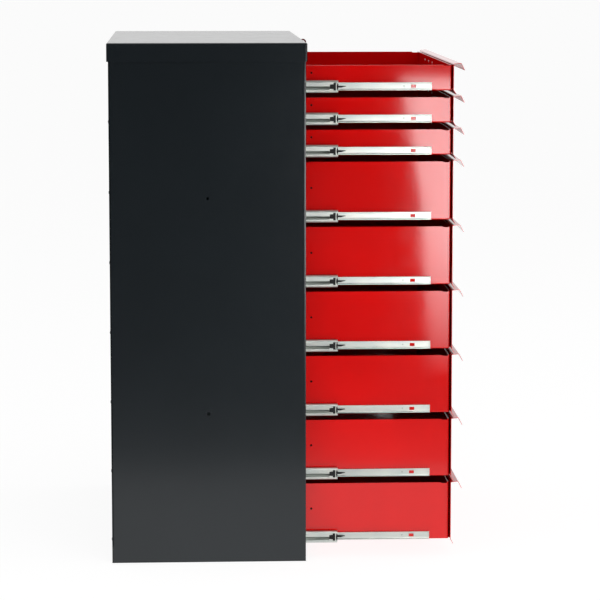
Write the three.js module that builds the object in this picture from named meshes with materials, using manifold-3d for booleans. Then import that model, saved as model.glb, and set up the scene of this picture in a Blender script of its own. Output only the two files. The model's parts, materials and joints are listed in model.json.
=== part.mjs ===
// Rolling tool chest with nine drawers on three-section slides, modelled with every drawer pulled out.
// Millimetres, +Z up. The drawers open towards -Y. The origin is the middle of the cabinet's
// footprint, on the floor. Distances "behind the front" are measured along +Y from the cabinet's
// front edge, and the drawers close by sliding openTravel towards +Y.
import * as THREE from 'three';
import { mergeVertices } from 'three/addons/utils/BufferGeometryUtils.js';
import Module from 'manifold-3d';

const wasm = await Module();
wasm.setup();

// ---- Driving dimensions ----
const cabinetWidth = 660;
const cabinetDepth = 330;
const cabinetHeight = 882;
const panelSheet = 1.25; // cabinet sheet
const drawerSheet = 0.75; // drawer sheet
const touchGap = 0.3; // left between pieces that touch
const bendRadius = 1.75; // of the middle of a bent cabinet sheet
const drawerBend = 1.25; // of the middle of a bent drawer sheet

const frontY = -cabinetDepth / 2;
const backY = cabinetDepth / 2;
const halfWidth = cabinetWidth / 2;
const lidUnderside = cabinetHeight - panelSheet;

const lidOverhang = { side: 3, front: 2.2, back: 2.8 };
const lidLip = 31; // height of the lid's folded edge
const postWidth = 20; // folded front and rear edges of a side panel
const postReturn = 12; // the front fold goes back into the cabinet by this much
const railHeight = 28; // folded edge of the floor pan
const bottomRailTop = 24;
const topRailBottom = 849;
const railDepth = 14;

const smallDrawers = 3;
const drawerCount = 9;
const smallPitch = 54.25;
const largePitch = 110.5;
const drawerGap = 11.5; // between one drawer box and the next
const topDrawerTop = 843.25; // upper edge of the first drawer box
const boxWidth = 594;
const boxDepth = 300;
const frontWidth = 617;
const openTravel = 250;
const closedBoxFront = 3; // box front wall behind the cabinet's front edge, drawer closed

const skinGap = 2.25; // open space between the box's front wall and its outer front
const pull = { reach: 12.5, rise: 1.25, lipOut: 6, lipDrop: 12, aboveBox: 2.25 };
const flare = { out: 4.5, drop: 6.25, start: 1.5 }; // the outer front's lower edge turns outwards

const slideLength = 280;
const slideSetback = 36.5; // closed slides start this far behind the front edge
const slideCentreHeight = 7.25; // above the underside of the drawer box
const slideSheet = 1.25;
const slideShoulder = 2.5; // radius between a web and its lips
const weldLap = 0.05; // the outer members' webs sink this far into the uprights
const outerSlide = { height: 27, depth: 12 };
const middleSlide = { height: 20.5, depth: 8.5 };
const innerSlide = { height: 13, depth: 4.5 };
const middleTravel = 91.5; // a middle member moves this far of a drawer's travel

const lockX = 284;
const lockZ = 862;
const lockCrank = 8; // cam pin radius, and so the travel of the lock bar
const lockBarY = frontY + 16.5; // front face of the bar, behind the folded post
const lockBarSheet = 2;
const catchHeight = { from: 24, to: 30 }; // above the underside of the drawer box
const catchThickness = 3;
const tabHeight = { from: 32, to: 37 }; // tab of the unlocked bar, above the same underside

// ---- Finishes ----
const finish = (color, roughness, metalness) =>
  new THREE.MeshStandardMaterial({ color, roughness, metalness });
const cabinetPaint = finish(0x24282b, 0.35, 0.1);
const drawerPaint = finish(0xc40606, 0.3, 0.1);
const zinc = finish(0xc4cbc8, 0.35, 0.9);
const brightMetal = finish(0xcfd0d0, 0.2, 1.0);
const darkSteel = finish(0x3c3f42, 0.45, 0.8);

// ---- Solids ----
// Corners sit on a grid of 1/1024 mm, so that faces meant to be flush are exactly flush.
const gridSteps = 1024;
function toSolid(geometry) {
  const bare = geometry.clone();
  bare.deleteAttribute('normal');
  bare.deleteAttribute('uv');
  const corners = bare.attributes.position.array;
  corners.forEach((value, i) => {
    corners[i] = Math.round(value * gridSteps) / gridSteps;
  });
  const merged = mergeVertices(bare, 1e-4);
  return new wasm.Manifold(
    new wasm.Mesh({
      numProp: 3,
      vertProperties: new Float32Array(merged.attributes.position.array),
      triVerts: new Uint32Array(merged.index.array),
    }),
  );
}

function toGeometry(solid) {
  const mesh = solid.getMesh();
  const geometry = new THREE.BufferGeometry();
  geometry.setAttribute('position', new THREE.BufferAttribute(mesh.vertProperties, 3));
  geometry.setIndex(new THREE.BufferAttribute(mesh.triVerts, 1));
  geometry.computeVertexNormals();
  return geometry;
}

// A block between two corners.
function block([x0, y0, z0], [x1, y1, z1]) {
  const geometry = new THREE.BoxGeometry(x1 - x0, y1 - y0, z1 - z0);
  geometry.translate((x0 + x1) / 2, (y0 + y1) / 2, (z0 + z1) / 2);
  return toSolid(geometry);
}

// A block on the left (side = -1) or right (side = 1), with x measured outwards from the middle.
function sideBlock(side, [x0, y0, z0], [x1, y1, z1]) {
  const [left, right] = side > 0 ? [x0, x1] : [-x1, -x0];
  return block([left, y0, z0], [right, y1, z1]);
}

// A round rod or hole along an axis, through its middle point.
function rod(axis, centre, radius, length, sides = 12) {
  const geometry = new THREE.CylinderGeometry(radius, radius, length, sides);
  if (axis === 'x') geometry.rotateZ(Math.PI / 2);
  if (axis === 'z') geometry.rotateX(Math.PI / 2);
  geometry.translate(...centre);
  return toSolid(geometry);
}

// A flat outline drawn out between two planes. The outline's points are [y, z] along x,
// [x, z] along y and [x, y] along z.
function drawOut(axis, outline, from, to) {
  const shape = new THREE.Shape(outline.map(([a, b]) => new THREE.Vector2(a, b)));
  const geometry = new THREE.ExtrudeGeometry(shape, { depth: to - from, bevelEnabled: false });
  const turn = new THREE.Matrix4();
  if (axis === 'x') turn.set(0, 0, 1, from, 1, 0, 0, 0, 0, 1, 0, 0, 0, 0, 0, 1);
  if (axis === 'y') turn.set(1, 0, 0, 0, 0, 0, -1, to, 0, 1, 0, 0, 0, 0, 0, 1);
  if (axis === 'z') turn.makeTranslation(0, 0, from);
  geometry.applyMatrix4(turn);
  return toSolid(geometry);
}

// A line with each inner corner turned into an arc.
function roundCorners(line, radius, steps = 3) {
  const at = (i) => new THREE.Vector2(...line[i]);
  const rounded = [line[0]];
  for (let i = 1; i < line.length - 1; i += 1) {
    const back = at(i - 1).sub(at(i));
    const ahead = at(i + 1).sub(at(i));
    const reach = Math.min(radius, back.length() / 2.2, ahead.length() / 2.2);
    const from = at(i).add(back.setLength(reach));
    const to = at(i).add(ahead.setLength(reach));
    const curve = new THREE.QuadraticBezierCurve(from, at(i), to);
    rounded.push(...curve.getPoints(steps).map((point) => [point.x, point.y]));
  }
  return [...rounded, line[line.length - 1]];
}

// The outline of a bent sheet, from the line through the middle of the sheet.
function bentSheet(line, thickness) {
  const near = [];
  const far = [];
  line.forEach(([a, b], i) => {
    const [pa, pb] = line[Math.max(i - 1, 0)];
    const [na, nb] = line[Math.min(i + 1, line.length - 1)];
    const before = new THREE.Vector2(a - pa, b - pb).normalize();
    const after = new THREE.Vector2(na - a, nb - b).normalize();
    if (i === 0) before.copy(after);
    if (i === line.length - 1) after.copy(before);
    const along = before.clone().add(after).normalize();
    const half = thickness / 2 / along.dot(after);
    near.push([a - along.y * half, b + along.x * half]);
    far.unshift([a + along.y * half, b - along.x * half]);
  });
  return [...near, ...far];
}

// A block whose edges along one or more axes are rounded.
function roundedBlock([x0, y0, z0], [x1, y1, z1], radius, axes, steps = 3) {
  const spans = { x: [y0, y1, z0, z1], y: [x0, x1, z0, z1], z: [x0, x1, y0, y1] };
  const ends = { x: [x0, x1], y: [y0, y1], z: [z0, z1] };
  const bars = [...axes].map((axis) => {
    const [a0, a1, b0, b1] = spans[axis];
    const middle = (a0 + a1) / 2;
    const loop = [[middle, b0], [a1, b0], [a1, b1], [a0, b1], [a0, b0], [middle, b0]];
    return drawOut(axis, roundCorners(loop, radius, steps).slice(0, -1), ...ends[axis]);
  });
  return bars.reduce((rest, bar) => rest.intersect(bar));
}

const joinAll = (solids) => solids.reduce((sum, next) => sum.add(next));
const cutAll = (solid, cutters) => cutters.reduce((rest, next) => rest.subtract(next), solid);

const part = new THREE.Group();
function addPiece(name, solid, material) {
  const mesh = new THREE.Mesh(toGeometry(solid), material);
  mesh.name = name;
  part.add(mesh);
}

const sides = { left: -1, right: 1 }; // as seen from the front

// ---- Where the drawers are ----
const drawers = [];
for (let i = 0; i < drawerCount; i += 1) {
  const small = i < smallDrawers;
  const drop = Math.min(i, smallDrawers) * smallPitch + Math.max(i - smallDrawers, 0) * largePitch;
  const top = topDrawerTop - drop;
  const height = (small ? smallPitch : largePitch) - drawerGap;
  drawers.push({ name: `drawer_${i + 1}`, small, top, bottom: top - height });
}
const boxFrontY = frontY + closedBoxFront - openTravel; // of an open drawer
const boxBackY = boxFrontY + boxDepth;
const boxSideX = boxWidth / 2;

// ---- Cabinet shell ----
// Each side panel is folded inwards at the front, as a post, and at the rear.
const sideHole = { radius: 2.6, heights: [256, 622] };
function sidePanel(side) {
  const sheetX = side * (halfWidth - panelSheet / 2);
  const edgeX = side * (halfWidth - postWidth + panelSheet / 2);
  const sheetFrontY = frontY + panelSheet / 2;
  const sheetBackY = backY - panelSheet - touchGap - panelSheet / 2;
  const plan = [
    [edgeX, frontY + postReturn],
    [edgeX, sheetFrontY],
    [sheetX, sheetFrontY],
    [sheetX, sheetBackY],
    [edgeX, sheetBackY],
  ];
  const outline = bentSheet(roundCorners(plan, bendRadius), panelSheet);
  const panel = drawOut('z', outline, panelSheet + touchGap, lidUnderside - touchGap);
  const holes = sideHole.heights.map((z) =>
    rod('x', [sheetX, 0, z], sideHole.radius, 4 * panelSheet),
  );
  return cutAll(panel, holes);
}

// The back is a flat sheet with three upright ribs pressed into it.
const rib = { spacing: 190, halfWidth: 20, depth: 5, from: 80, to: 800 };
function backPanel() {
  const x = halfWidth - touchGap;
  const innerY = backY - panelSheet;
  let panel = block([-x, innerY, railHeight + touchGap], [x, backY, lidUnderside - touchGap]);
  for (const ribX of [-rib.spacing, 0, rib.spacing]) {
    const x0 = ribX - rib.halfWidth;
    const x1 = ribX + rib.halfWidth;
    const t = panelSheet;
    panel = panel.add(block([x0, innerY - rib.depth, rib.from], [x1, innerY + t / 2, rib.to]));
    panel = panel.subtract(
      block([x0 + t, innerY - rib.depth + t, rib.from + t], [x1 - t, backY + t, rib.to - t]),
    );
  }
  return panel;
}

// The lid is a shallow cap with its edges folded down outside the cabinet.
const lockHoleRadius = 8.3;
function lid() {
  const x = halfWidth + lidOverhang.side;
  const y0 = frontY - lidOverhang.front;
  const y1 = backY + lidOverhang.back;
  const lipZ = cabinetHeight - lidLip;
  const outerRadius = bendRadius + panelSheet;
  const below = lipZ - 10; // rounded below the lip's edge, and then cut off square
  const cap = roundedBlock([-x, y0, below], [x, y1, cabinetHeight], outerRadius, 'xyz', 4);
  const square = block([-x - 1, y0 - 1, below - 1], [x + 1, y1 + 1, lipZ]);
  const hollow = block(
    [-x + panelSheet, y0 + panelSheet, lipZ - 1],
    [x - panelSheet, y1 - panelSheet, lidUnderside],
  );
  const lockHole = rod('y', [lockX, y0, lockZ], lockHoleRadius, 4 * panelSheet, 20);
  return cutAll(cap, [square, hollow, lockHole]);
}

// The floor pan stands on the floor. It has four bolt holes at each corner, for caster plates.
const casterPad = { x: 275, y: 118 };
const casterBolts = { x: 37, y: 22, radius: 4.2 };
const quarters = [[-1, -1], [1, -1], [1, 1], [-1, 1]];
function floorPan() {
  const foldX = halfWidth - panelSheet - 2 * touchGap;
  const foldY = frontY + postReturn + 4;
  const base = block([-halfWidth, frontY, 0], [halfWidth, backY, panelSheet]);
  const backFold = block([-foldX, backY - panelSheet, 0], [foldX, backY, railHeight]);
  const sideFolds = Object.values(sides).map((side) =>
    sideBlock(side, [foldX - panelSheet, foldY, 0], [foldX, backY - 4, railHeight]),
  );
  const holes = quarters.flatMap(([padX, padY]) =>
    quarters.map(([boltX, boltY]) => {
      const x = padX * casterPad.x + boltX * casterBolts.x;
      const y = padY * casterPad.y + boltY * casterBolts.y;
      return rod('z', [x, y, 0], casterBolts.radius, 4 * panelSheet, 10);
    }),
  );
  return cutAll(joinAll([base, backFold, ...sideFolds]), holes);
}

// A channel between the two front posts, open to the rear.
function frontRail(fromZ, toZ) {
  const x = halfWidth - postWidth - touchGap;
  const sheetY = frontY + panelSheet / 2;
  const z0 = fromZ + panelSheet / 2;
  const z1 = toZ - panelSheet / 2;
  const outline = [[sheetY + railDepth, z1], [sheetY, z1], [sheetY, z0], [sheetY + railDepth, z0]];
  return drawOut('x', bentSheet(roundCorners(outline, bendRadius), panelSheet), -x, x);
}

for (const [word, side] of Object.entries(sides)) {
  addPiece(`side_panel_${word}`, sidePanel(side), cabinetPaint);
}
addPiece('back_panel', backPanel(), cabinetPaint);
addPiece('lid', lid(), cabinetPaint);
addPiece('floor_pan', floorPan(), cabinetPaint);
addPiece('bottom_rail', frontRail(panelSheet + touchGap, bottomRailTop), cabinetPaint);
const topRailHole = rod('y', [lockX, frontY, lockZ], lockHoleRadius, 4 * panelSheet, 20);
const topRail = frontRail(topRailBottom, lidUnderside - touchGap).subtract(topRailHole);
addPiece('top_rail', topRail, cabinetPaint);

// ---- Slides ----
const ladderX = halfWidth - postWidth; // plane between the uprights and the outer members
const slideZ = (drawer) => drawer.bottom + slideCentreHeight;
const closedSlideY = frontY + slideSetback;

// A member is a channel. webX is where its web stands, measured outwards from the middle, and
// lipWay is 1 when its two lips point outwards and -1 when they point inwards.
function slideMember(side, member, webX, lipWay, frontEndY, drawer) {
  const half = (member.height - slideSheet) / 2;
  const lipX = webX + lipWay * (member.depth - slideSheet / 2);
  const z = slideZ(drawer);
  const line = [
    [side * lipX, z + half],
    [side * webX, z + half],
    [side * webX, z - half],
    [side * lipX, z - half],
  ];
  const outline = bentSheet(roundCorners(line, slideShoulder), slideSheet);
  return drawOut('y', outline, frontEndY, frontEndY + slideLength);
}

// The outer members are riveted to two upright channels, which stand in the side panel.
const upright = { width: 24, from: 32, to: 846, sideGap: 3 };
function slideLadder(side) {
  const flangeX = halfWidth - panelSheet - upright.sideGap;
  const webX = ladderX + slideSheet / 2;
  const halfSheet = slideSheet / 2;
  const frontUpright = closedSlideY + halfSheet;
  const rearUpright = closedSlideY + slideLength - halfSheet - upright.width;
  const uprights = [frontUpright, rearUpright].map((y) => {
    const plan = [
      [side * flangeX, y],
      [side * webX, y],
      [side * webX, y + upright.width],
      [side * flangeX, y + upright.width],
    ];
    return drawOut('z', bentSheet(plan, slideSheet), upright.from, upright.to);
  });
  const members = drawers.map((drawer) =>
    slideMember(side, outerSlide, ladderX - halfSheet + weldLap, -1, closedSlideY, drawer),
  );
  return joinAll([...uprights, ...members]);
}

// The middle member of an open slide has come middleTravel forwards. Its web is cut out near the
// front end for the ball cage's bumper, and notched at the end.
const bumperSlot = { behindEnd: 9.25, long: 9, tall: 12.5, narrow: 4 };
const endNotch = { depth: 2.5, height: 8 };
function middleMember(side, drawer) {
  const webX = ladderX - 1.5 * slideSheet - 2 * touchGap;
  const endY = closedSlideY - middleTravel;
  const z = slideZ(drawer);
  const through = (y, long, tall) =>
    sideBlock(
      side,
      [webX - slideSheet, y - long / 2, z - tall / 2],
      [webX + slideSheet, y + long / 2, z + tall / 2],
    );
  const slotY = endY + bumperSlot.behindEnd;
  const member = slideMember(side, middleSlide, webX, -1, endY, drawer);
  return cutAll(member, [
    through(slotY, bumperSlot.long, bumperSlot.narrow),
    through(slotY, bumperSlot.narrow, bumperSlot.tall),
    through(endY, 2 * endNotch.depth, endNotch.height),
  ]);
}

// The drawer's own member has a window near its front end and a folded end tab.
const slideWindow = { behindEnd: 26.5, length: 8.5, height: 5.5 };
const endTabMargin = 3; // the tab is this much lower than the member, above and below
function drawerMember(side, drawer) {
  const webX = boxSideX + touchGap + slideSheet / 2;
  const endY = closedSlideY - openTravel;
  const z = slideZ(drawer);
  const windowY = endY + slideWindow.behindEnd;
  const opening = sideBlock(
    side,
    [boxSideX, windowY, z - slideWindow.height / 2],
    [boxSideX + innerSlide.depth, windowY + slideWindow.length, z + slideWindow.height / 2],
  );
  const tab = sideBlock(
    side,
    [webX, endY, z - innerSlide.height / 2 + endTabMargin],
    [
      webX + innerSlide.depth - slideSheet,
      endY + slideSheet,
      z + innerSlide.height / 2 - endTabMargin,
    ],
  );
  return slideMember(side, innerSlide, webX, 1, endY, drawer).subtract(opening).add(tab);
}

for (const [word, side] of Object.entries(sides)) {
  addPiece(`slide_ladder_${word}`, slideLadder(side), zinc);
  for (const drawer of drawers) {
    addPiece(`${drawer.name}_middle_slide_${word}`, middleMember(side, drawer), zinc);
    addPiece(`${drawer.name}_slide_${word}`, drawerMember(side, drawer), zinc);
  }
}

// ---- Drawers ----
// A drawer is a folded box. Its outer front stands off the box, open at both ends and along the
// top, where it turns out into a full-width pull.
const hem = { reach: 1.25, height: 3, frontGap: 13 };
const frontDip = 1.5; // the side walls are this much lower where they have no hem
const boxHole = { behindFront: 236.5, radius: 2, belowTopSmall: 12.5, belowTopLarge: 44 };
const footHeight = 2; // above the box's underside, of the strip that joins box and outer front
function drawerBox(drawer) {
  const { top, bottom } = drawer;
  const t = drawerSheet;
  const outerRadius = drawerBend + t;
  const box = roundedBlock(
    [-boxSideX, boxFrontY, bottom],
    [boxSideX, boxBackY, top + 5],
    outerRadius,
    'xyz',
  );
  const above = block([-boxSideX - 1, boxFrontY - 1, top], [boxSideX + 1, boxBackY + 1, top + 6]);
  const room = block(
    [-boxSideX + t, boxFrontY + t, bottom + t],
    [boxSideX - t, boxBackY - t, top + 1],
  );
  const dips = Object.values(sides).map((side) =>
    sideBlock(
      side,
      [boxSideX - outerRadius, boxFrontY + outerRadius + t, top - frontDip],
      [boxSideX + 1, boxFrontY + hem.frontGap, top + 1],
    ),
  );
  const shell = cutAll(box, [above, room, ...dips]);
  const sideHems = Object.values(sides).map((side) =>
    sideBlock(
      side,
      [boxSideX - t, boxFrontY + hem.frontGap, top - hem.height],
      [boxSideX + hem.reach, boxBackY - outerRadius, top],
    ),
  );
  const endHems = [boxFrontY, boxBackY - hem.reach - t].map((y) =>
    block(
      [-boxSideX + outerRadius, y, top - hem.height],
      [boxSideX - outerRadius, y + hem.reach + t, top],
    ),
  );
  const holeZ = top - (drawer.small ? boxHole.belowTopSmall : boxHole.belowTopLarge);
  const holes = rod('x', [0, boxFrontY + boxHole.behindFront, holeZ], boxHole.radius, 2 * boxWidth);
  return joinAll([shell, ...sideHems, ...endHems]).subtract(holes);
}

function drawerFront(drawer) {
  const { top, bottom } = drawer;
  const t = drawerSheet;
  const skinY = boxFrontY - skinGap - t / 2;
  const line = [
    [skinY - pull.reach - pull.lipOut, top + pull.aboveBox + pull.rise - pull.lipDrop],
    [skinY - pull.reach, top + pull.aboveBox + pull.rise],
    [skinY, top + pull.aboveBox],
    [skinY, bottom + flare.start],
    [skinY - flare.out, bottom - flare.drop],
  ];
  const outline = bentSheet(roundCorners(line, drawerBend), t);
  const skin = drawOut('x', outline, -frontWidth / 2, frontWidth / 2);
  const footZ = bottom + footHeight;
  const foot = block([-boxSideX, skinY, footZ], [boxSideX, boxFrontY + t / 2, footZ + t]);
  return skin.add(foot);
}

// A lug on the right side, which the lock bar's tab drops in front of.
function lockCatch(drawer) {
  const y = lockBarY + lockBarSheet + 1 - openTravel; // 1 mm of play behind the tab
  return block(
    [boxSideX - drawerSheet / 2, y, drawer.bottom + catchHeight.from],
    [ladderX - 2, y + catchThickness, drawer.bottom + catchHeight.to],
  );
}

for (const drawer of drawers) {
  const solid = joinAll([drawerBox(drawer), drawerFront(drawer), lockCatch(drawer)]);
  addPiece(drawer.name, solid, drawerPaint);
}

// ---- Lock ----
const plugRadius = lockHoleRadius - touchGap;
const lipY = frontY - lidOverhang.front; // outer face of the lid's front edge
const plugBackY = frontY + 13;
const lockFlange = { extraRadius: 2, thickness: 2.5 };
const keyway = { halfWidth: 1.4, halfHeight: 4, endsBeforeBack: 6 };
function lockBarrel() {
  const frontFace = lipY - touchGap - lockFlange.thickness;
  const flangeY = lipY - touchGap - lockFlange.thickness / 2;
  const flangeRadius = plugRadius + lockFlange.extraRadius;
  const flange = rod('y', [lockX, flangeY, lockZ], flangeRadius, lockFlange.thickness, 24);
  const bodyY = (flangeY + plugBackY) / 2;
  const body = rod('y', [lockX, bodyY, lockZ], plugRadius, plugBackY - flangeY, 20);
  const slot = block(
    [lockX - keyway.halfWidth, frontFace - 1, lockZ - keyway.halfHeight],
    [lockX + keyway.halfWidth, plugBackY - keyway.endsBeforeBack, lockZ + keyway.halfHeight],
  );
  return flange.add(body).subtract(slot);
}

const bow = { radius: 6.5, hole: 3.6, thickness: 2, centreY: lipY - 22 };
const bladeHalfHeight = 3.2;
function key() {
  const ring = rod('x', [lockX, bow.centreY, lockZ], bow.radius, bow.thickness, 20);
  const bladeEndY = plugBackY - keyway.endsBeforeBack - 1;
  const blade = block(
    [lockX - bow.thickness / 2, bow.centreY + bow.radius - 1.5, lockZ - bladeHalfHeight],
    [lockX + bow.thickness / 2, bladeEndY, lockZ + bladeHalfHeight],
  );
  const hole = rod('x', [lockX, bow.centreY, lockZ], bow.hole, 4 * bow.thickness, 14);
  return ring.add(blade).subtract(hole);
}

const cam = { thickness: 1.8, halfHeight: 5, tail: 6 };
const camPinRadius = 2.5;
function lockCam() {
  const y0 = plugBackY + touchGap;
  const lever = block(
    [lockX - cam.tail, y0, lockZ - cam.halfHeight],
    [lockX + lockCrank + camPinRadius, y0 + cam.thickness, lockZ + cam.halfHeight],
  );
  const pinEndY = lockBarY + lockBarSheet + 2;
  const pinLength = pinEndY - y0;
  const pin = rod('y', [lockX + lockCrank, y0 + pinLength / 2, lockZ], camPinRadius, pinLength, 12);
  return lever.add(pin);
}

// The bar's top arm is slotted for the cam pin. The slot's play takes up the pin's arc.
const barX = { from: 312.5, to: 326 };
const barFootZ = 60;
const barArm = { half: 8, slotHalfHeight: 4.6, slotPlay: 1 };
const tabGap = 4; // between a tab's end and the drawer's side
function lockBar() {
  const y0 = lockBarY;
  const y1 = lockBarY + lockBarSheet;
  const topZ = lockZ + barArm.half;
  const strip = block([barX.from, y0, barFootZ], [barX.to, y1, topZ]);
  const arm = block([lockX - barArm.half, y0, lockZ - barArm.half], [barX.from + 1, y1, topZ]);
  const slotReach = camPinRadius + barArm.slotPlay;
  const slot = block(
    [lockX - slotReach, y0 - 1, lockZ - barArm.slotHalfHeight],
    [lockX + lockCrank + slotReach, y1 + 1, lockZ + barArm.slotHalfHeight],
  );
  const tabs = drawers.map((drawer) =>
    block(
      [boxSideX + tabGap, y0, drawer.bottom + tabHeight.from],
      [barX.from + 1, y1, drawer.bottom + tabHeight.to],
    ),
  );
  return joinAll([strip, arm, ...tabs]).subtract(slot);
}

addPiece('lock_barrel', lockBarrel(), brightMetal);
addPiece('key', key(), brightMetal);
addPiece('lock_cam', lockCam(), darkSteel);
addPiece('lock_bar', lockBar(), darkSteel);

export default part;
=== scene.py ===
"""The looks of a rolling tool chest: materials, slide and rivet details, camera, floor and lights.

Metres, +Z up, in the CAD's frame. The drawers open towards -Y, and the camera stands on the -X side.
"""

import json
import math

import bmesh
import bpy
from mathutils import Matrix, Vector

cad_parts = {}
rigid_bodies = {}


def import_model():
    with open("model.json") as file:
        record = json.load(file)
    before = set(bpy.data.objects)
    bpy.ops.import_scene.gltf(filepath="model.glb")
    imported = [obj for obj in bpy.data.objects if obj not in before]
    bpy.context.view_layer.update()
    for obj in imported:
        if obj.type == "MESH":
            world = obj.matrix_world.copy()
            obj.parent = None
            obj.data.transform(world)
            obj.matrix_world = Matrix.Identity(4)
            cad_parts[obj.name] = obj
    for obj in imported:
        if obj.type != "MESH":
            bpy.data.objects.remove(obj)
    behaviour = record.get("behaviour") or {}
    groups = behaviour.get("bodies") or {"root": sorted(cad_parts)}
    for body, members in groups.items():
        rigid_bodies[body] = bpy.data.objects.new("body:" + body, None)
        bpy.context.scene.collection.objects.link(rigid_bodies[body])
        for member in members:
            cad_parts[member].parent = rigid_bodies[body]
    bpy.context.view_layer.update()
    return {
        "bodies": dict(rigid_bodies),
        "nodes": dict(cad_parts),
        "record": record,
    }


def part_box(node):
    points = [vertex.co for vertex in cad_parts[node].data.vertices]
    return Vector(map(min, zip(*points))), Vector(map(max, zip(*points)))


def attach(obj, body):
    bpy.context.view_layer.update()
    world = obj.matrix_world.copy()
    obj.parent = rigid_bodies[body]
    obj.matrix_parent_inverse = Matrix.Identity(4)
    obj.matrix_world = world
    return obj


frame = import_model()

MM = 0.001
SIDES = {"left": -1, "right": 1}
DRAWERS = sorted(
    (name for name in frame["bodies"] if name.startswith("drawer_") and "middle" not in name),
    key=lambda name: int(name.split("_")[1]),
)
SMALL_DRAWERS = DRAWERS[:3]
SCENE = bpy.context.scene


# ---------------------------------------------------------------------------------------------
# Node trees
# ---------------------------------------------------------------------------------------------
class Nodes:
    """A node tree, with short calls for the nodes that the materials and the world use."""

    def __init__(self, tree):
        self.tree = tree

    def add(self, kind, **inputs):
        node = self.tree.nodes.new(kind)
        for label, value in inputs.items():
            self.feed(node.inputs[label.replace("_", " ")], value)
        return node

    def feed(self, socket, value):
        """Links a socket's value in, or sets a plain one."""
        if isinstance(value, bpy.types.NodeSocket):
            self.tree.links.new(value, socket)
        else:
            socket.default_value = value

    def math(self, operation, a, b=0.0):
        node = self.add("ShaderNodeMath")
        node.operation = operation
        self.feed(node.inputs[0], a)
        self.feed(node.inputs[1], b)
        return node.outputs["Value"]

    def remap(self, value, source, target, smooth=False):
        """Takes the source range to the target range, and holds the ends beyond it."""
        node = self.add("ShaderNodeMapRange", Value=value)
        if smooth:
            node.interpolation_type = "SMOOTHSTEP"
        labels = ("From Min", "From Max", "To Min", "To Max")
        for label, number in zip(labels, (*source, *target)):
            node.inputs[label].default_value = number
        return node.outputs["Result"]

    def blend(self, factor, a, b):
        """Between two numbers."""
        node = self.add("ShaderNodeMix")
        self.feed(node.inputs[0], factor)
        self.feed(node.inputs[2], a)
        self.feed(node.inputs[3], b)
        return node.outputs[0]

    def mix(self, factor, a, b):
        """Between two colours."""
        node = self.add("ShaderNodeMix")
        node.data_type = "RGBA"
        self.feed(node.inputs[0], factor)
        self.feed(node.inputs[6], a)
        self.feed(node.inputs[7], b)
        return node.outputs[2]


class Shader(Nodes):
    """A new material, and the nodes that feed its surface. Textures lie in the piece's own frame."""

    def __init__(self, name):
        self.material = bpy.data.materials.new(name)
        self.material.use_nodes = True
        super().__init__(self.material.node_tree)
        self.surface = self.tree.nodes["Principled BSDF"]
        self.place = self.add("ShaderNodeTexCoord").outputs["Object"]

    def put(self, label, value):
        """Gives one of the surface's inputs its value."""
        self.feed(self.surface.inputs[label], value)

    def stretched(self, x, y, z):
        node = self.add("ShaderNodeMapping", Vector=self.place)
        node.inputs["Scale"].default_value = (x, y, z)
        return node.outputs["Vector"]

    def noise(self, scale, detail=2.0, roughness=0.5, place=None):
        node = self.add(
            "ShaderNodeTexNoise", Scale=scale, Detail=detail, Roughness=roughness,
            Vector=place or self.place,
        )
        return node.outputs["Fac"]

    def bump(self, height, distance, normal=None):
        node = self.add("ShaderNodeBump", Height=height, Distance=distance)
        if normal is not None:
            self.feed(node.inputs["Normal"], normal)
        return node.outputs["Normal"]

    def edges(self, radius):
        """Near 1 on outer and inner edges, 0 on flat metal."""
        soft = self.add("ShaderNodeBevel", Radius=radius)
        soft.samples = 4
        true = self.add("ShaderNodeNewGeometry").outputs["Normal"]
        dot = self.add("ShaderNodeVectorMath")
        dot.operation = "DOT_PRODUCT"
        self.feed(dot.inputs[0], soft.outputs["Normal"])
        self.feed(dot.inputs[1], true)
        return self.remap(dot.outputs["Value"], (0.985, 0.85), (0.0, 1.0))


# ---------------------------------------------------------------------------------------------
# Materials
# ---------------------------------------------------------------------------------------------
FULL = (0.0, 1.0)
WORN_EDGE = 0.9 * MM
WORN_SHARE = 0.5  # how far the coat gives way to the worn colour where it is thinnest
SHADED = 0.9  # the darker patches of a coat, against its colour
SCUFF_COLOUR = (0.42, 0.44, 0.44, 1)


def painted(name, colour, worn, roughness, peel, waviness):
    """Powder coat: orange peel, slightly wavy sheet, faint dust, and paint drawn thin on edges."""
    shader = Shader(name)
    broad = shader.noise(scale=7.0, detail=3.0)
    dust = shader.noise(scale=38.0, detail=5.0, roughness=0.6)
    speckle = shader.noise(scale=1900.0, detail=1.0)
    thin = shader.remap(shader.noise(scale=160.0, detail=4.0), (0.52, 0.74), FULL)
    chipped = shader.math("MULTIPLY", shader.edges(WORN_EDGE), thin)
    shaded = [c * SHADED for c in colour[:3]] + [1.0]
    base = shader.mix(shader.remap(broad, (0.35, 0.65), FULL), shaded, colour)
    base = shader.mix(shader.math("MULTIPLY", chipped, WORN_SHARE), base, worn)
    shader.put("Base Color", base)
    rough = shader.remap(dust, (0.35, 0.75), (roughness, roughness + 0.03))
    rough = shader.math("ADD", rough, shader.remap(speckle, (0.4, 0.8), (0.0, 0.015)))
    shader.put("Roughness", rough)
    skin = shader.bump(shader.noise(scale=9.0, detail=1.0), waviness)
    skin = shader.bump(shader.noise(scale=330.0, detail=1.0), peel, skin)
    shader.put("Normal", skin)
    return shader.material


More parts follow.
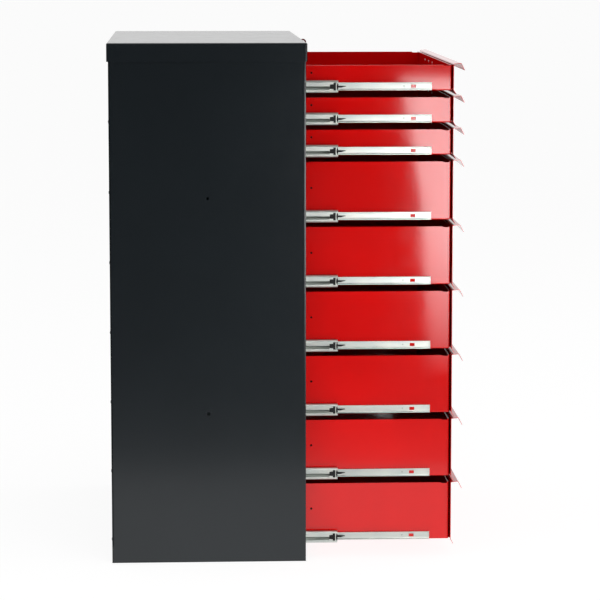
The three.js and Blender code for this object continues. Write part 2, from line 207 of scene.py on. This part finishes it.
def zinc_plate(name, clear, cloudy, roughness):
    """Zinc on roll-formed steel: lines along the rolling direction, cloudy passivation, scuffs."""
    shader = Shader(name)
    lines = shader.noise(1.0, detail=4.0, roughness=0.6, place=shader.stretched(900.0, 9.0, 900.0))
    cloud = shader.noise(scale=22.0, detail=3.0)
    scuffs = shader.noise(1.0, detail=3.0, roughness=0.7, place=shader.stretched(300.0, 25.0, 300.0))
    base = shader.mix(shader.remap(cloud, (0.35, 0.65), FULL), clear, cloudy)
    base = shader.mix(shader.remap(scuffs, (0.62, 0.75), (0.0, 0.3)), base, SCUFF_COLOUR)
    shader.put("Base Color", base)
    shader.put("Metallic", 1.0)
    shader.put("Roughness", shader.remap(lines, (0.3, 0.7), (roughness, roughness + 0.12)))
    shader.put("Normal", shader.bump(lines, 0.006 * MM))
    return shader.material


def bare_metal(name, light, dark, roughness):
    """Plated or oiled steel with fine random scratches."""
    shader = Shader(name)
    stain = shader.noise(scale=60.0, detail=4.0)
    scratch = shader.noise(1.0, detail=2.0, place=shader.stretched(300.0, 2600.0, 2600.0))
    shader.put("Base Color", shader.mix(shader.remap(stain, (0.35, 0.7), FULL), light, dark))
    shader.put("Metallic", 1.0)
    shader.put("Roughness", shader.remap(scratch, (0.3, 0.7), (roughness, roughness + 0.12)))
    shader.put("Normal", shader.bump(scratch, 0.004 * MM))
    return shader.material


def black_plastic(name):
    """Moulded nylon with a fine spark-eroded texture."""
    shader = Shader(name)
    texture = shader.noise(scale=2600.0)
    dark, darker = (0.009, 0.009, 0.009, 1), (0.004, 0.004, 0.004, 1)
    shader.put("Base Color", shader.mix(shader.noise(scale=90.0), darker, dark))
    shader.put("Roughness", shader.remap(texture, (0.3, 0.7), (0.45, 0.6)))
    shader.put("Specular IOR Level", 0.22)
    shader.put("Normal", shader.bump(texture, 0.01 * MM))
    return shader.material


CABINET_PAINT = painted(
    "cabinet_paint",
    colour=(0.0095, 0.0129, 0.0155, 1),
    worn=(0.05, 0.053, 0.056, 1),
    roughness=0.16,
    peel=0.008 * MM,
    waviness=0.05 * MM,
)
DRAWER_PAINT = painted(
    "drawer_paint",
    colour=(0.64, 0.0006, 0.0003, 1),
    worn=(0.7, 0.03, 0.02, 1),
    roughness=0.055,
    peel=0.0012 * MM,
    waviness=0.02 * MM,
)
DRAWER_PAINT.node_tree.nodes["Principled BSDF"].inputs["IOR"].default_value = 1.54
ZINC = zinc_plate("zinc_plate", (0.545, 0.58, 0.555, 1), (0.64, 0.65, 0.605, 1), 0.28)
# Its darker colour is painted shade on the slides' tracks, and grease on the slide rivets.
ZINC_SHADE_AND_GREASE = zinc_plate("zinc_painted_shade_and_grease", (0.34, 0.38, 0.34, 1), (0.44, 0.47, 0.43, 1), 0.34)
PLATED = bare_metal("plated_lock", (0.72, 0.72, 0.72, 1), (0.6, 0.59, 0.57, 1), 0.16)
DARK_STEEL = bare_metal("dark_steel", (0.2, 0.2, 0.21, 1), (0.09, 0.085, 0.085, 1), 0.34)
# Near black: painted shade inside the side walls' rear holes.
HOLE_SHADE_BLACK_STEEL = bare_metal("hole_shade_black_steel", (0.006, 0.005, 0.005, 1), (0.003, 0.003, 0.003, 1), 0.5)
RIVET_STEEL = bare_metal("rivet_steel", (0.62, 0.63, 0.63, 1), (0.45, 0.45, 0.44, 1), 0.24)
PLASTIC = black_plastic("black_plastic")

SLOT_MATERIALS = {
    "cabinet_paint": CABINET_PAINT,
    "drawer_paint": DRAWER_PAINT,
    "zinc_slides": ZINC,
    "plated_lock": PLATED,
    "dark_steel": DARK_STEEL,
}

SHEET_EDGE = 0.22 * MM  # how far the CAD's sharp sheet edges are rounded
ROUNDED_FROM = math.radians(40)  # edges that turn by more than this are rounded


def soften(piece, name, width):
    """Rounds a piece's sharp edges."""
    bevel = piece.modifiers.new(name, "BEVEL")
    bevel.width = width
    bevel.segments = 2
    bevel.limit_method = "ANGLE"
    bevel.angle_limit = ROUNDED_FROM
    bevel.harden_normals = True
    bevel.use_clamp_overlap = True


def finish_cad_nodes():
    """Gives each CAD node its material, and rounds its sheet edges."""
    slots = {row["node"]: row["material_slot"] for row in frame["record"]["subparts"]}
    for name, node in frame["nodes"].items():
        node.data.materials.clear()
        node.data.materials.append(SLOT_MATERIALS[slots[name]])
        node.data.shade_smooth()
        soften(node, "folded_edges", SHEET_EDGE)
        smooth = node.modifiers.new("weighted_normals", "WEIGHTED_NORMAL")
        smooth.keep_sharp = False


finish_cad_nodes()


# ---------------------------------------------------------------------------------------------
# Mesh helpers
# ---------------------------------------------------------------------------------------------
def make_piece(name, mesh, body, material):
    """Turns a bmesh into an object that rides on a body."""
    data = bpy.data.meshes.new(name)
    bmesh.ops.recalc_face_normals(mesh, faces=mesh.faces)
    mesh.to_mesh(data)
    mesh.free()
    data.materials.append(material)
    data.shade_smooth()
    piece = bpy.data.objects.new(name, data)
    SCENE.collection.objects.link(piece)
    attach(piece, body)
    return piece


def add_slab(mesh, outline, low_x, high_x):
    """A flat outline of (y, z) points between two planes across X."""
    rings = [[mesh.verts.new((x, y, z)) for y, z in outline] for x in (low_x, high_x)]
    count = len(outline)
    for i in range(count):
        j = (i + 1) % count
        mesh.faces.new((rings[0][i], rings[0][j], rings[1][j], rings[1][i]))
    mesh.faces.new(rings[0])
    mesh.faces.new(rings[1])


def box_outline(y0, y1, z0, z1):
    return [(y0, z0), (y1, z0), (y1, z1), (y0, z1)]


def add_dome(mesh, centre, out, radius, height, sides=16, rings=4):
    """A low round rivet head, closed behind, standing out of a flat surface."""
    out = Vector(out).normalized()
    across = out.orthogonal().normalized()
    up = out.cross(across)
    centre = Vector(centre)
    levels = []
    for ring in range(rings):
        angle = ring / rings * math.pi / 2
        reach = radius * math.cos(angle)
        middle = centre + out * (height * math.sin(angle))
        circle = []
        for k in range(sides):
            turn = 2 * math.pi * k / sides
            spoke = across * (reach * math.cos(turn)) + up * (reach * math.sin(turn))
            circle.append(mesh.verts.new(middle + spoke))
        levels.append(circle)
    for lower, upper in zip(levels, levels[1:]):
        for k in range(sides):
            j = (k + 1) % sides
            mesh.faces.new((lower[k], lower[j], upper[j], upper[k]))
    tip = mesh.verts.new(centre + out * height)
    for k in range(sides):
        mesh.faces.new((levels[-1][k], levels[-1][(k + 1) % sides], tip))
    mesh.faces.new(levels[0])


# ---------------------------------------------------------------------------------------------
# Details of the slides
# ---------------------------------------------------------------------------------------------
SHEET = 1.25 * MM  # of the slide members
ROOTED = 0.1 * MM  # how deep a raised detail is set into the web that carries it

# The bumper, measured along the slide from the middle of the member's cross-shaped cut-out.
BUMPER_BEHIND_END = 9.25 * MM
BUMPER_BLOCK = (6 * MM, 7.4 * MM)  # half as long, half as tall
BLOCK_FROM_INSIDE = (-2.2 * MM, -0.25 * MM)  # outwards from the web's inner face
BUMPER_CROSS = ((4.3 * MM, 1.8 * MM), (1.8 * MM, 6.0 * MM))  # half as long, half as tall
CROSS_FROM_INSIDE = (-0.3 * MM, 0.8 * MM)
BUMPER_BAR = (-5.4 * MM, -1.3 * MM, 6.4 * MM)  # of its face: from, to, half as tall
BUMPER_WING = (-1.4 * MM, 4.7 * MM, 3.5 * MM)
BUMPER_PROUD = 0.45 * MM
BUMPER_ROUNDING = 0.2 * MM

# The bumper's nose, measured back from the member's front end, up or down from its mid height.
HOOK_PROFILE = ((-0.7, 3.7), (1.3, 3.9), (2.3, 2.2), (3.7, 1.6), (3.7, 0.1), (0.7, 0.1))  # mm
HOOK_FROM_INSIDE = (-3.2 * MM, 0.5 * MM)
NOSE_PROUD = 0.35 * MM
RIM_HOLLOW = {"tip": 0.2 * MM, "deeper": 0.9 * MM, "half_tall": 6.2 * MM}
RIM_BACK = {"tip": 1.3 * MM, "deeper": 1.5 * MM, "half_tall": 6.4 * MM}
RIM_STEPS = 5

# The raised steps and the darker track on a middle member's web, measured from its mid height.
STEP_PROUD = 0.3 * MM
STEP_ROUNDING = 0.25 * MM
STEP_CLEAR_OF_BUMPER = 0.1 * MM
STEP_REAR_MARGIN = 0.6 * MM
UPPER_STEP = {"near": 0.4 * MM, "far": 7.6 * MM}
LOWER_STEP = {"near": -5.2 * MM, "far": -7.8 * MM}
STEP_BESIDE_WING = 3.8 * MM
# The track's darker zinc is painted shade: it stands in for the dark band that the web's rolled slope
# shows.
TRACK = (-5.1 * MM, 0.3 * MM)
TRACK_PROUD = 0.06 * MM

# The ball cage, measured outwards from the middle member's inner edge.
CAGE_BEHIND_BUMPER = 6.5 * MM
CAGE_LENGTH = 170 * MM
CAGE_HALF_TALL = 8.6 * MM
CAGE_SHEET = 0.5 * MM
CAGE_LIP = 0.4 * MM
CAGE_WEB = 3.2 * MM
CAGE_FLANGE = 0.6 * MM
CAGE_WINDOW_HALF_TALL = 3.6 * MM
CAGE_BRIDGE = 5 * MM
BALL_ROW = 1.6 * MM
BALL_RADIUS = 0.8 * MM
BALLS_PER_ROW = 7

# The release lever, measured from the middle member's front end and from the drawer member's web.
LEVER_ROOT = 2.5 * MM
LEVER_TIP = -13.5 * MM
LEVER_BELOW_MIDDLE = 0.6 * MM
LEVER_INNER = 0.5 * MM
LEVER_OUTER = 3.2 * MM
LEVER_ROUNDING = 0.2 * MM

# The rivets that hold the drawer member, measured from its front end.
MEMBER_RIVETS = (47 * MM, 225 * MM)
MEMBER_RIVET_ABOVE_MIDDLE = 0.4 * MM
MEMBER_RIVET_RADIUS = 1.3 * MM
MEMBER_RIVET_HEIGHT = 0.5 * MM


class Slide:
    """One slide's place. Distances across the chest are positive outwards, on either side."""

    def __init__(self, drawer, word, side):
        low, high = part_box(f"{drawer}_middle_slide_{word}")
        member_low, member_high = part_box(f"{drawer}_slide_{word}")
        self.drawer, self.word, self.side = drawer, word, side
        self.middle_body = f"{drawer}_middle_slides"
        self.z = (low.z + high.z) / 2
        self.inner_edge = min(abs(low.x), abs(high.x))
        self.web = max(abs(low.x), abs(high.x))
        self.drawer_web = min(abs(member_low.x), abs(member_high.x)) + SHEET
        self.front, self.rear = low.y, high.y
        self.member_front = member_low.y
        self.bumper_y = low.y + BUMPER_BEHIND_END

    def slab(self, mesh, x0, x1, outline):
        """Between two distances outwards."""
        add_slab(mesh, outline, *sorted((self.side * x0, self.side * x1)))

    def bar(self, mesh, x0, x1, y0, y1, half_tall):
        """A box at the slide's mid height."""
        self.slab(mesh, x0, x1, box_outline(y0, y1, self.z - half_tall, self.z + half_tall))

    def piece(self, kind, mesh, body, slot, material):
        return make_piece(f"{self.drawer}_{kind}_{self.word}", mesh, body, material)


def step_outline(slide, step, beside_wing):
    """A raised step that runs back from the bumper's bar, and steps round its wing."""
    start = slide.bumper_y + BUMPER_BAR[1] + STEP_CLEAR_OF_BUMPER
    wing_end = slide.bumper_y + BUMPER_WING[1] + STEP_CLEAR_OF_BUMPER
    rear = slide.rear - STEP_REAR_MARGIN
    outline = [
        (start, beside_wing), (wing_end, beside_wing), (wing_end, step["near"]),
        (rear, step["near"]), (rear, step["far"]), (start, step["far"]),
    ]
    return [(y, slide.z + z) for y, z in outline]


def add_raceway(slide):
    """Rolled steps on a middle member's web, and between them a track of darker zinc: painted shade for
    the dark band along the web.
    """
    rooted = slide.web - ROOTED
    mesh = bmesh.new()
    for step, beside_wing in ((UPPER_STEP, STEP_BESIDE_WING), (LOWER_STEP, -STEP_BESIDE_WING)):
        slide.slab(mesh, rooted, slide.web + STEP_PROUD, step_outline(slide, step, beside_wing))
    steps = slide.piece("raceway", mesh, slide.middle_body, "zinc_slides", ZINC)
    soften(steps, "rounded", STEP_ROUNDING)
    mesh = bmesh.new()
    start = slide.bumper_y + BUMPER_WING[1] + STEP_CLEAR_OF_BUMPER
    end = slide.rear - STEP_REAR_MARGIN
    z0, z1 = (slide.z + z for z in TRACK)
    slide.slab(mesh, rooted, slide.web + TRACK_PROUD, box_outline(start, end, z0, z1))
    # Darker zinc: painted shade, the dark band along the web between the steps.
    slide.piece("track", mesh, slide.middle_body, "zinc_slides", ZINC_SHADE_AND_GREASE)


def nose_rim(slide):
    """The crescent that the bumper's nose shows round the member's end notch."""
    heights = [k / RIM_STEPS for k in range(-RIM_STEPS, RIM_STEPS + 1)]
    curves = []
    for curve in (RIM_HOLLOW, RIM_BACK):
        for t in heights:
            y = slide.front + curve["tip"] + curve["deeper"] * (1 - t * t)
            curves.append((y, slide.z + t * curve["half_tall"]))
        heights.reverse()
    return curves


def nose_hook(slide, sign):
    """One half of the bumper's nose, above or below the slide's middle."""
    return [(slide.front + back * MM, slide.z + sign * away * MM) for back, away in HOOK_PROFILE]


def add_bumper(slide):
    """The black bumper behind the web. Its T-shaped face and its nose's rim stand just proud."""
    mesh = bmesh.new()
    inside = slide.web - SHEET
    rooted = slide.web - ROOTED
    y = slide.bumper_y
    half_long, half_tall = BUMPER_BLOCK
    inner, outer = (inside + x for x in BLOCK_FROM_INSIDE)
    slide.bar(mesh, inner, outer, y - half_long, y + half_long, half_tall)
    inner, outer = (inside + x for x in CROSS_FROM_INSIDE)
    for half_long, half_tall in BUMPER_CROSS:
        slide.bar(mesh, inner, outer, y - half_long, y + half_long, half_tall)
    for start, end, half_tall in (BUMPER_BAR, BUMPER_WING):
        slide.bar(mesh, rooted, slide.web + BUMPER_PROUD, y + start, y + end, half_tall)
    slide.slab(mesh, rooted, slide.web + NOSE_PROUD, nose_rim(slide))
    inner, outer = (inside + x for x in HOOK_FROM_INSIDE)
    for sign in (-1, 1):
        slide.slab(mesh, inner, outer, nose_hook(slide, sign))
    bumper = slide.piece("bumper", mesh, slide.middle_body, None, PLASTIC)
    soften(bumper, "rounded", BUMPER_ROUNDING)


def add_ball_cage(slide):
    """A folded steel strip with windows, and a row of balls along each of its flanges."""
    y0 = slide.bumper_y + CAGE_BEHIND_BUMPER
    y1 = y0 + CAGE_LENGTH
    pitch = CAGE_LENGTH / BALLS_PER_ROW
    web = slide.inner_edge + CAGE_WEB
    web_outside = web + CAGE_SHEET
    mesh = bmesh.new()
    slide.bar(mesh, web, web_outside, y0, y0 + CAGE_BRIDGE, CAGE_HALF_TALL)
    for k in range(BALLS_PER_ROW):
        start = y0 + k * pitch + CAGE_BRIDGE
        end = y0 + (k + 1) * pitch
        for sign in (-1, 1):
            z0, z1 = sorted(slide.z + sign * z for z in (CAGE_WINDOW_HALF_TALL, CAGE_HALF_TALL))
            slide.slab(mesh, web, web_outside, box_outline(start, end - CAGE_BRIDGE, z0, z1))
        slide.bar(mesh, web, web_outside, end - CAGE_BRIDGE, end, CAGE_HALF_TALL)
    for sign in (-1, 1):
        z0, z1 = sorted(slide.z + sign * z for z in (CAGE_HALF_TALL - CAGE_LIP, CAGE_HALF_TALL))
        slide.slab(mesh, slide.inner_edge + CAGE_FLANGE, web, box_outline(y0, y1, z0, z1))
    slide.piece("ball_cage", mesh, slide.middle_body, "zinc_slides", ZINC)
    mesh = bmesh.new()
    away = CAGE_HALF_TALL - CAGE_LIP - BALL_RADIUS
    for k in range(BALLS_PER_ROW):
        for sign in (-1, 1):
            x = slide.side * (slide.inner_edge + BALL_ROW)
            place = Matrix.Translation((x, y0 + (k + 0.5) * pitch, slide.z + sign * away))
            bmesh.ops.create_uvsphere(
                mesh, u_segments=10, v_segments=6, radius=BALL_RADIUS, matrix=place
            )
    slide.piece("balls", mesh, slide.middle_body, None, PLATED)


def add_release_lever(slide):
    """The thin plastic lever that frees the drawer, reaching forwards from the member's web."""
    mesh = bmesh.new()
    root, tip = slide.front + LEVER_ROOT, slide.front + LEVER_TIP
    z = slide.z - LEVER_BELOW_MIDDLE
    lever = [
        (root, z - 1.5 * MM), (root, z + 1.3 * MM), (root - 5 * MM, z + 1.7 * MM),
        (root - 9 * MM, z + 1.5 * MM), (tip + 1.0 * MM, z + 1.3 * MM), (tip, z + 1.0 * MM),
        (tip, z + 0.5 * MM), (tip + 4 * MM, z - 0.3 * MM), (root - 8 * MM, z - 1.5 * MM),
    ]
    slide.slab(mesh, slide.drawer_web + LEVER_INNER, slide.drawer_web + LEVER_OUTER, lever)
    piece = slide.piece("release_lever", mesh, slide.drawer, None, PLASTIC)
    soften(piece, "rounded", LEVER_ROUNDING)


def add_member_rivets(slide):
    """The rivets that hold the drawer's slide member to its box."""
    mesh = bmesh.new()
    out = (slide.side, 0, 0)
    for behind in MEMBER_RIVETS:
        z = slide.z + MEMBER_RIVET_ABOVE_MIDDLE
        point = (slide.side * slide.drawer_web, slide.member_front + behind, z)
        add_dome(mesh, point, out, MEMBER_RIVET_RADIUS, MEMBER_RIVET_HEIGHT)
    slide.piece("slide_rivets", mesh, slide.drawer, "zinc_slides", ZINC_SHADE_AND_GREASE)


# ---------------------------------------------------------------------------------------------
# Rivets of the drawers and of the back
# ---------------------------------------------------------------------------------------------
SLIDE_BEHIND_BOX_FRONT = 33.5 * MM
DRAWER_SHEET = 0.75 * MM
RIM_BELOW_PULL = 3.9 * MM

FRONT_RIVETS_X = (30 * MM, 97 * MM, 164 * MM)
FRONT_RIVET_BELOW_TOP = 10 * MM
FRONT_RIVET_RADIUS = 2.3 * MM
FRONT_RIVET_HEIGHT = 0.9 * MM

# A near-black rivet fills each side wall's rear hole; its black is painted shade for the hole's
# darkness.
HOLE_SHADE_RIVET_BEHIND_SLIDE = 203 * MM
HOLE_SHADE_RIVET_BELOW_TOP_SMALL = 12.5 * MM
HOLE_SHADE_RIVET_BELOW_TOP_LARGE = 44 * MM
HOLE_SHADE_RIVET_SUNK = 0.8 * MM  # its base lies this far inside the slide member's inner face
HOLE_SHADE_RIVET_RADIUS = 1.85 * MM
HOLE_SHADE_RIVET_HEIGHT = 0.8 * MM

BACK_RIVET_INSET = 11 * MM
BACK_RIVET_RADIUS = 3.2 * MM
BACK_RIVET_HEIGHT = 1.1 * MM
BACK_RIVET_ROWS = 8
BACK_RIVET_COLUMNS = 5


def box_top(drawer):
    """Height of the drawer box's rim."""
    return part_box(drawer)[1].z - RIM_BELOW_PULL


def front_wall_rivets(drawer):
    """Three plated rivets inside the front wall, near the top."""
    slide_low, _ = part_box(f"{drawer}_slide_left")
    wall_y = slide_low.y - SLIDE_BEHIND_BOX_FRONT + DRAWER_SHEET
    z = box_top(drawer) - FRONT_RIVET_BELOW_TOP
    mesh = bmesh.new()
    for x in FRONT_RIVETS_X:
        add_dome(mesh, (x, wall_y, z), (0, 1, 0), FRONT_RIVET_RADIUS, FRONT_RIVET_HEIGHT)
    make_piece(f"{drawer}_front_rivets", mesh, drawer, RIVET_STEEL)


def hole_shade_rivets(drawer):
    """A near-black rivet in the hole near the rear of each side wall. Its black is painted shade,
    standing in for the shade inside the hole.
    """
    slide_low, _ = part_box(f"{drawer}_slide_right")
    small = drawer in SMALL_DRAWERS
    below_top = HOLE_SHADE_RIVET_BELOW_TOP_SMALL if small else HOLE_SHADE_RIVET_BELOW_TOP_LARGE
    y = slide_low.y + HOLE_SHADE_RIVET_BEHIND_SLIDE
    z = box_top(drawer) - below_top
    mesh = bmesh.new()
    for side in SIDES.values():
        point = (side * (slide_low.x - HOLE_SHADE_RIVET_SUNK), y, z)
        add_dome(mesh, point, (side, 0, 0), HOLE_SHADE_RIVET_RADIUS, HOLE_SHADE_RIVET_HEIGHT)
    make_piece(f"{drawer}_hole_shade_rivets", mesh, drawer, HOLE_SHADE_BLACK_STEEL)


def back_rivets():
    """Painted pop rivets round the edge of the back panel."""
    low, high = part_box("back_panel")
    left, right = low.x + BACK_RIVET_INSET, high.x - BACK_RIVET_INSET
    bottom, top = low.z + BACK_RIVET_INSET, high.z - BACK_RIVET_INSET
    row_pitch = (top - bottom) / (BACK_RIVET_ROWS - 1)
    column_pitch = (right - left) / (BACK_RIVET_COLUMNS + 1)
    places = [(x, bottom + k * row_pitch) for x in (left, right) for k in range(BACK_RIVET_ROWS)]
    places += [(left + k * column_pitch, bottom) for k in range(1, BACK_RIVET_COLUMNS + 1)]
    mesh = bmesh.new()
    for x, z in places:
        add_dome(mesh, (x, high.y, z), (0, 1, 0), BACK_RIVET_RADIUS, BACK_RIVET_HEIGHT)
    make_piece("back_panel_rivets", mesh, "cabinet", CABINET_PAINT)


for drawer_name in DRAWERS:
    for side_word, side_sign in SIDES.items():
        slide = Slide(drawer_name, side_word, side_sign)
        add_raceway(slide)
        add_bumper(slide)
        add_ball_cage(slide)
        add_release_lever(slide)
        add_member_rivets(slide)
    front_wall_rivets(drawer_name)
    hole_shade_rivets(drawer_name)
back_rivets()


# ---------------------------------------------------------------------------------------------
# Camera, floor and lights
# ---------------------------------------------------------------------------------------------
CAMERA_AT = Vector((-4.681, 0.052, 1.033))
CAMERA_YAW = math.radians(-2.72)  # towards the open drawers
CAMERA_PITCH = math.radians(-7.23)
CAMERA_SENSOR = 36.0
CAMERA_LENS = 156.35
CAMERA_SHIFT_Y = -0.03

FLOOR_COLOUR = 0.2
FLOOR_GLOW = 0.9
FLOOR_Z = -0.5 * MM
SWEEP_Z = -0.6 * MM
FLOOR_REACH = (-30, 60, -30, 30)  # from and to along X, from and to along Y
SWEEP_REACH = (-9, 6, -4, 4)
SWEEP_EDGE_X = -1.1  # the white floor sweep ends here, towards the camera
SWEEP_EDGE_HALF = 0.03  # half the width of that edge's soft step
SWEEP_STEP = 0.42
SWEEP_FADES = ((0.4, 1.9), (0.13, 0.15))  # glow at the edge, and how fast it falls beyond, per metre

SOFTBOX_X = -2.0
SOFTBOX_TOP = 0.74
SOFTBOX_FOOT = 0.02
SOFTBOX_FAR_Y = -2.1
SOFTBOX_EDGE = ((-0.475, SOFTBOX_TOP), (-0.521, 0.473), (-0.548, SOFTBOX_FOOT))  # (y, z), slightly bent
SOFTBOX_FADE = (0.03, 0.36)  # heights between which it comes up to its full brightness
SOFTBOX_RADIANCE = 9.0

# The world as reflections see it: a range of the ray's direction, and the brightness at its ends.
WORLD_BACKDROP = ((-0.45, 0.4), (0.015, 1.0))  # along X
WORLD_DUSK = ((-0.8, -0.2), (0.1, 1.0))  # along Y, a share of the backdrop
WORLD_CEILING = ((0.3, 0.9), (0.0, 0.6))  # along Z
WORLD_ON_MATT = 0.3
WORLD_SEEN = 1.05

PANELS = (  # name, place, what it points at, width, height, radiance
    ("key_left", (-3.6, -0.9, 0.9), (-0.3, -0.2, 0.45), 2.4, 1.8, 2.55),
    ("key_low", (-1.7, -0.9, 0.2), (-0.3, -0.3, 0.25), 0.9, 0.4, 7.4),
    ("left_back", (-3.0, 2.3, 1.0), (0.0, 0.0, 0.45), 1.4, 1.4, 1.5),
    ("overhead", (-0.6, -0.4, 3.4), (-0.2, -0.2, 0.0), 2.6, 2.6, 0.8),
    ("front_fill", (0.9, -4.6, 1.9), (0.0, 0.0, 0.5), 2.2, 1.8, 2.2),
)


def add_camera():
    data = bpy.data.cameras.new("camera")
    data.sensor_width = CAMERA_SENSOR
    data.lens = CAMERA_LENS
    data.shift_y = CAMERA_SHIFT_Y
    data.clip_end = 60.0
    camera = bpy.data.objects.new("camera", data)
    level = math.cos(CAMERA_PITCH)
    towards = Vector(
        (level * math.cos(CAMERA_YAW), level * math.sin(CAMERA_YAW), math.sin(CAMERA_PITCH))
    )
    camera.location = CAMERA_AT
    camera.rotation_mode = "QUATERNION"
    camera.rotation_quaternion = towards.to_track_quat("-Z", "Y")
    SCENE.collection.objects.link(camera)
    SCENE.camera = camera


def stage_plane(name, corners, colour, glow_of):
    """A flat stage piece that is partly lit and partly glowing. glow_of gives the glow's strength."""
    mesh = bmesh.new()
    mesh.faces.new([mesh.verts.new(corner) for corner in corners])
    data = bpy.data.meshes.new(name)
    mesh.to_mesh(data)
    mesh.free()
    plane = bpy.data.objects.new(name, data)
    SCENE.collection.objects.link(plane)
    shader = Shader(name)
    shader.put("Base Color", (colour, colour, colour, 1))
    shader.put("Roughness", 0.9)
    shader.put("Specular IOR Level", 0.0)
    shader.put("Emission Color", (1, 1, 1, 1))
    shader.put("Emission Strength", glow_of(shader))
    data.materials.append(shader.material)
    return plane


def flat_corners(x0, x1, y0, y1, z):
    return [(x0, y0, z), (x1, y0, z), (x1, y1, z), (x0, y1, z)]


def sweep_glow(shader):
    """White under the object, and fading away beyond the sweep's edge, first fast and then slowly."""
    parts = shader.add("ShaderNodeSeparateXYZ", Vector=shader.place)
    x = parts.outputs["X"]
    beyond = shader.math("MINIMUM", shader.math("SUBTRACT", x, SWEEP_EDGE_X), 0.0)
    near, far = (
        shader.math("MULTIPLY", shader.math("EXPONENT", shader.math("MULTIPLY", beyond, rate)), glow)
        for glow, rate in SWEEP_FADES
    )
    soft_edge = (SWEEP_EDGE_X - SWEEP_EDGE_HALF, SWEEP_EDGE_X + SWEEP_EDGE_HALF)
    step = shader.remap(x, soft_edge, (0.0, SWEEP_STEP))
    return shader.math("ADD", shader.math("ADD", near, far), step)


def softbox_glow(shader):
    """Even at the top, fading out towards the lower edge."""
    parts = shader.add("ShaderNodeSeparateXYZ", Vector=shader.place)
    return shader.remap(parts.outputs["Z"], SOFTBOX_FADE, (0.0, SOFTBOX_RADIANCE))


def add_floor():
    """The floor that the camera sees, and the sweep that lights and mirrors in the object."""
    corners = flat_corners(*FLOOR_REACH, FLOOR_Z)
    wide = stage_plane("floor", corners, FLOOR_COLOUR, lambda shader: FLOOR_GLOW)
    wide.visible_glossy = False
    wide.visible_diffuse = False
    sweep = stage_plane("floor_sweep", flat_corners(*SWEEP_REACH, SWEEP_Z), 0.0, sweep_glow)
    sweep.visible_camera = False
    sweep.visible_shadow = False


def add_softbox_reflection():
    """The softbox that the drawers' glossy sides mirror, to the right of the camera's view."""
    outline = (*SOFTBOX_EDGE, (SOFTBOX_FAR_Y, SOFTBOX_FOOT), (SOFTBOX_FAR_Y, SOFTBOX_TOP))
    corners = [(SOFTBOX_X, y, z) for y, z in outline]
    box = stage_plane("softbox_mirrored", corners, 0.0, softbox_glow)
    box.visible_camera = False
    box.visible_diffuse = False
    box.visible_shadow = False


def add_world():
    """A white backdrop for the camera. Reflections see it white behind the object, +X, dimmer
    towards -Y, dark towards the camera and pale overhead. Matt surfaces get a little from all round."""
    world = bpy.data.worlds.new("studio")
    world.use_nodes = True
    nodes = Nodes(world.node_tree)
    direction = nodes.add("ShaderNodeTexCoord").outputs["Generated"]
    parts = nodes.add("ShaderNodeSeparateXYZ", Vector=direction).outputs
    backdrop = nodes.remap(parts["X"], *WORLD_BACKDROP, smooth=True)
    dusk = nodes.remap(parts["Y"], *WORLD_DUSK)
    ceiling = nodes.remap(parts["Z"], *WORLD_CEILING)
    mirrored = nodes.math("MAXIMUM", nodes.math("MULTIPLY", backdrop, dusk), ceiling)
    ray = nodes.add("ShaderNodeLightPath").outputs
    unseen = nodes.blend(ray["Is Diffuse Ray"], mirrored, WORLD_ON_MATT)
    strength = nodes.blend(ray["Is Camera Ray"], unseen, WORLD_SEEN)
    background = world.node_tree.nodes["Background"]
    nodes.feed(background.inputs["Strength"], strength)
    nodes.feed(background.inputs["Color"], (1, 1, 1, 1))
    SCENE.world = world


def add_panel(name, at, towards, wide, tall, radiance):
    """A soft light panel of an even brightness, which reflections don't see."""
    data = bpy.data.lights.new(name, "AREA")
    data.shape = "RECTANGLE"
    data.size = wide
    data.size_y = tall
    data.energy = radiance * wide * tall * math.pi
    light = bpy.data.objects.new(name, data)
    light.location = at
    light.rotation_mode = "QUATERNION"
    light.rotation_quaternion = (Vector(towards) - Vector(at)).to_track_quat("-Z", "Y")
    light.visible_camera = False
    light.visible_glossy = False
    SCENE.collection.objects.link(light)


add_camera()
add_floor()
add_softbox_reflection()
add_world()
for panel in PANELS:
    add_panel(*panel)
SCENE.view_settings.view_transform = "Standard"
